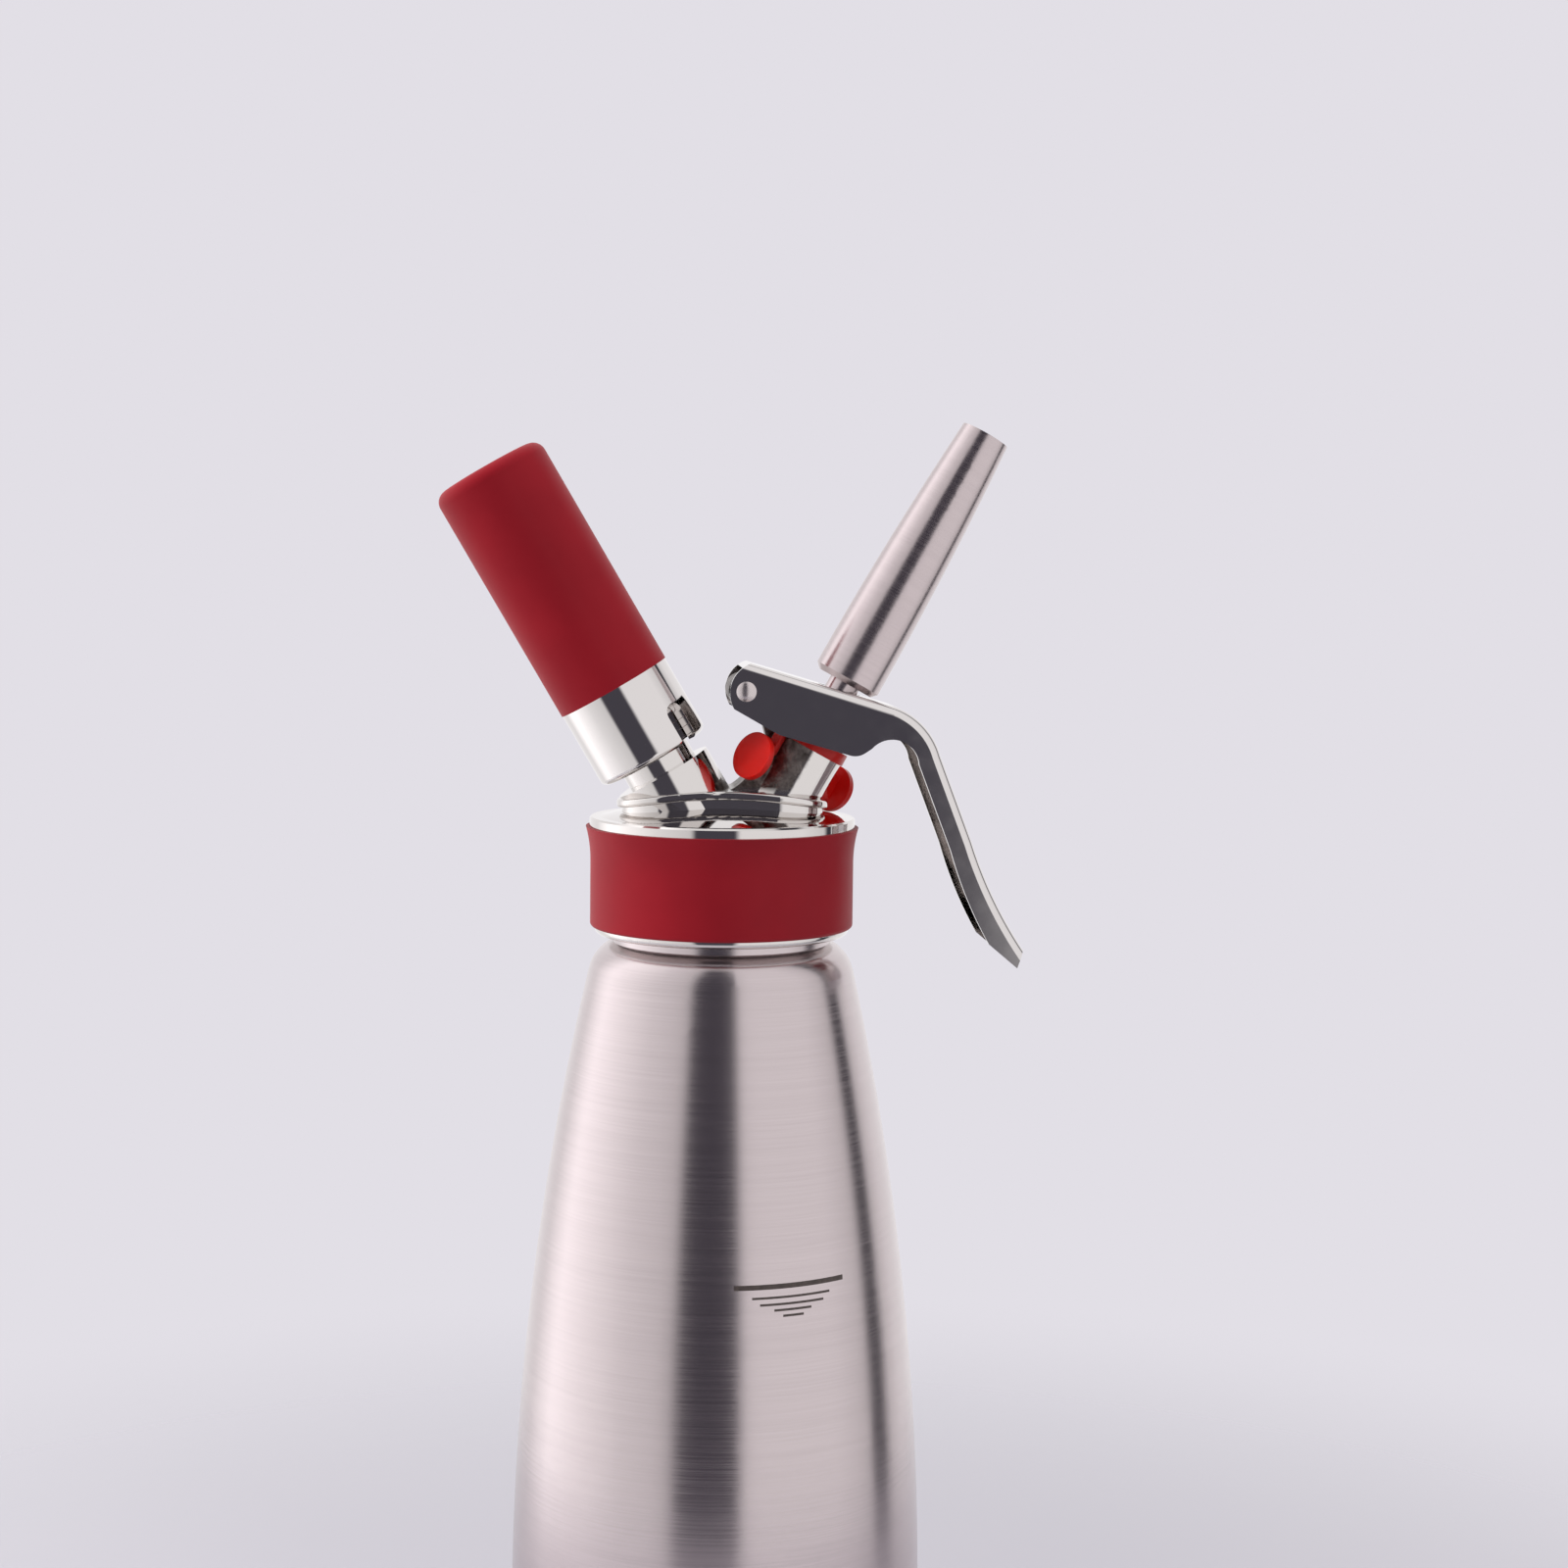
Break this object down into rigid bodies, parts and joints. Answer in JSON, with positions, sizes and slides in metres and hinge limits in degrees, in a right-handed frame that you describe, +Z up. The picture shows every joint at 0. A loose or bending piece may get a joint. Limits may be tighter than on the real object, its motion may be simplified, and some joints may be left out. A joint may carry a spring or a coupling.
{
  "type": "whipped cream dispenser",
  "caption": "Pressure bottle with a screw-on head, a charger holder on one arm, and a lever valve with a decorating nozzle on the other.",
  "frame": {"origin": "centre of the ring the bottle stands on, on the surface it stands on", "axes": "+Z up along the bottle's axis, the charger arm toward -X, the valve arm and the lever's handle toward +X"},
  "size_m": [0.1354, 0.0966, 0.3418],
  "materials": {
    "bottle_steel": "brushed stainless steel",
    "head_metal": "polished casting",
    "band_silicone": "matt crimson silicone",
    "grip_silicone": "matt crimson silicone",
    "gasket_silicone": "red silicone",
    "seal_rubber": "black rubber",
    "polished_steel": "polished stainless steel",
    "machined_steel": "turned stainless steel",
    "clip_plastic": "glossy red plastic",
    "valve_brass": "turned brass",
    "charger_steel": "plated steel",
    "spring_steel": "drawn spring wire"
  },
  "bodies": {
    "bottle": {"bottle": "bottle_steel"},
    "gasket": {"head_gasket": "gasket_silicone"},
    "head": {"head": "head_metal", "grip_band": "band_silicone", "lever_pin": "polished_steel", "piercing_pin": "machined_steel", "charger_washer": "seal_rubber", "check_valve": "valve_brass", "check_valve_sleeve": "seal_rubber", "valve_clip": "clip_plastic", "return_spring": "spring_steel"},
    "charger": {"charger": "charger_steel"},
    "holder": {"holder_sleeve": "polished_steel", "holder_grip": "grip_silicone"},
    "lever": {"lever": "polished_steel"},
    "piston": {"piston": "machined_steel", "piston_seal": "seal_rubber", "piston_ring": "seal_rubber", "tip_adaptor": "machined_steel"},
    "tip_seal": {"tip_seal": "seal_rubber"},
    "nozzle": {"nozzle": "machined_steel"}
  },
  "joints": [
    {"name": "head_lift", "type": "slide", "parent": "bottle", "child": "gasket", "axis": [0, 0, 1], "range_m": [0, 0.006]},
    {"name": "head_turn", "type": "hinge", "parent": "gasket", "child": "head", "pos_m": [0, 0, 0.235], "axis": [0, 0, 1], "range_deg": [0, 540.1]},
    {"name": "charger_lift", "type": "slide", "parent": "head", "child": "charger", "axis": [-0.5075, 0, 0.8616], "range_m": [0, 0.01]},
    {"name": "holder_turn", "type": "hinge", "parent": "charger", "child": "holder", "pos_m": [-0.03324, 0, 0.29308], "axis": [-0.5075, 0, 0.8616], "range_deg": [0, 1800.5]},
    {"name": "lever_press", "type": "hinge", "parent": "head", "child": "lever", "pos_m": [0.0047, 0, 0.2796], "axis": [0, 1, 0], "range_deg": [0, 8.1], "stiffness_Nm_per_rad": 1, "springref_deg": -34.38},
    {"name": "piston_slide", "type": "slide", "parent": "head", "child": "piston", "axis": [-0.4848, 0, -0.8746], "range_m": [0, 0.00276], "deforming": ["return_spring"]},
    {"name": "nozzle_lift", "type": "slide", "parent": "piston", "child": "tip_seal", "axis": [0.4848, 0, 0.8746], "range_m": [0, 0.0045]},
    {"name": "nozzle_turn", "type": "hinge", "parent": "tip_seal", "child": "nozzle", "pos_m": [0.03999, 0, 0.30248], "axis": [0.4848, 0, 0.8746], "range_deg": [0, 1080.3]}
  ],
  "couplings": [
    {"joint": "head_turn", "follows": "head_lift", "rad_per_m": 1570.8},
    {"joint": "holder_turn", "follows": "charger_lift", "rad_per_m": 3141.6},
    {"joint": "lever_press", "follows": "piston_slide", "rad_per_m": 50.574},
    {"joint": "nozzle_turn", "follows": "nozzle_lift", "rad_per_m": 4188.8}
  ]
}
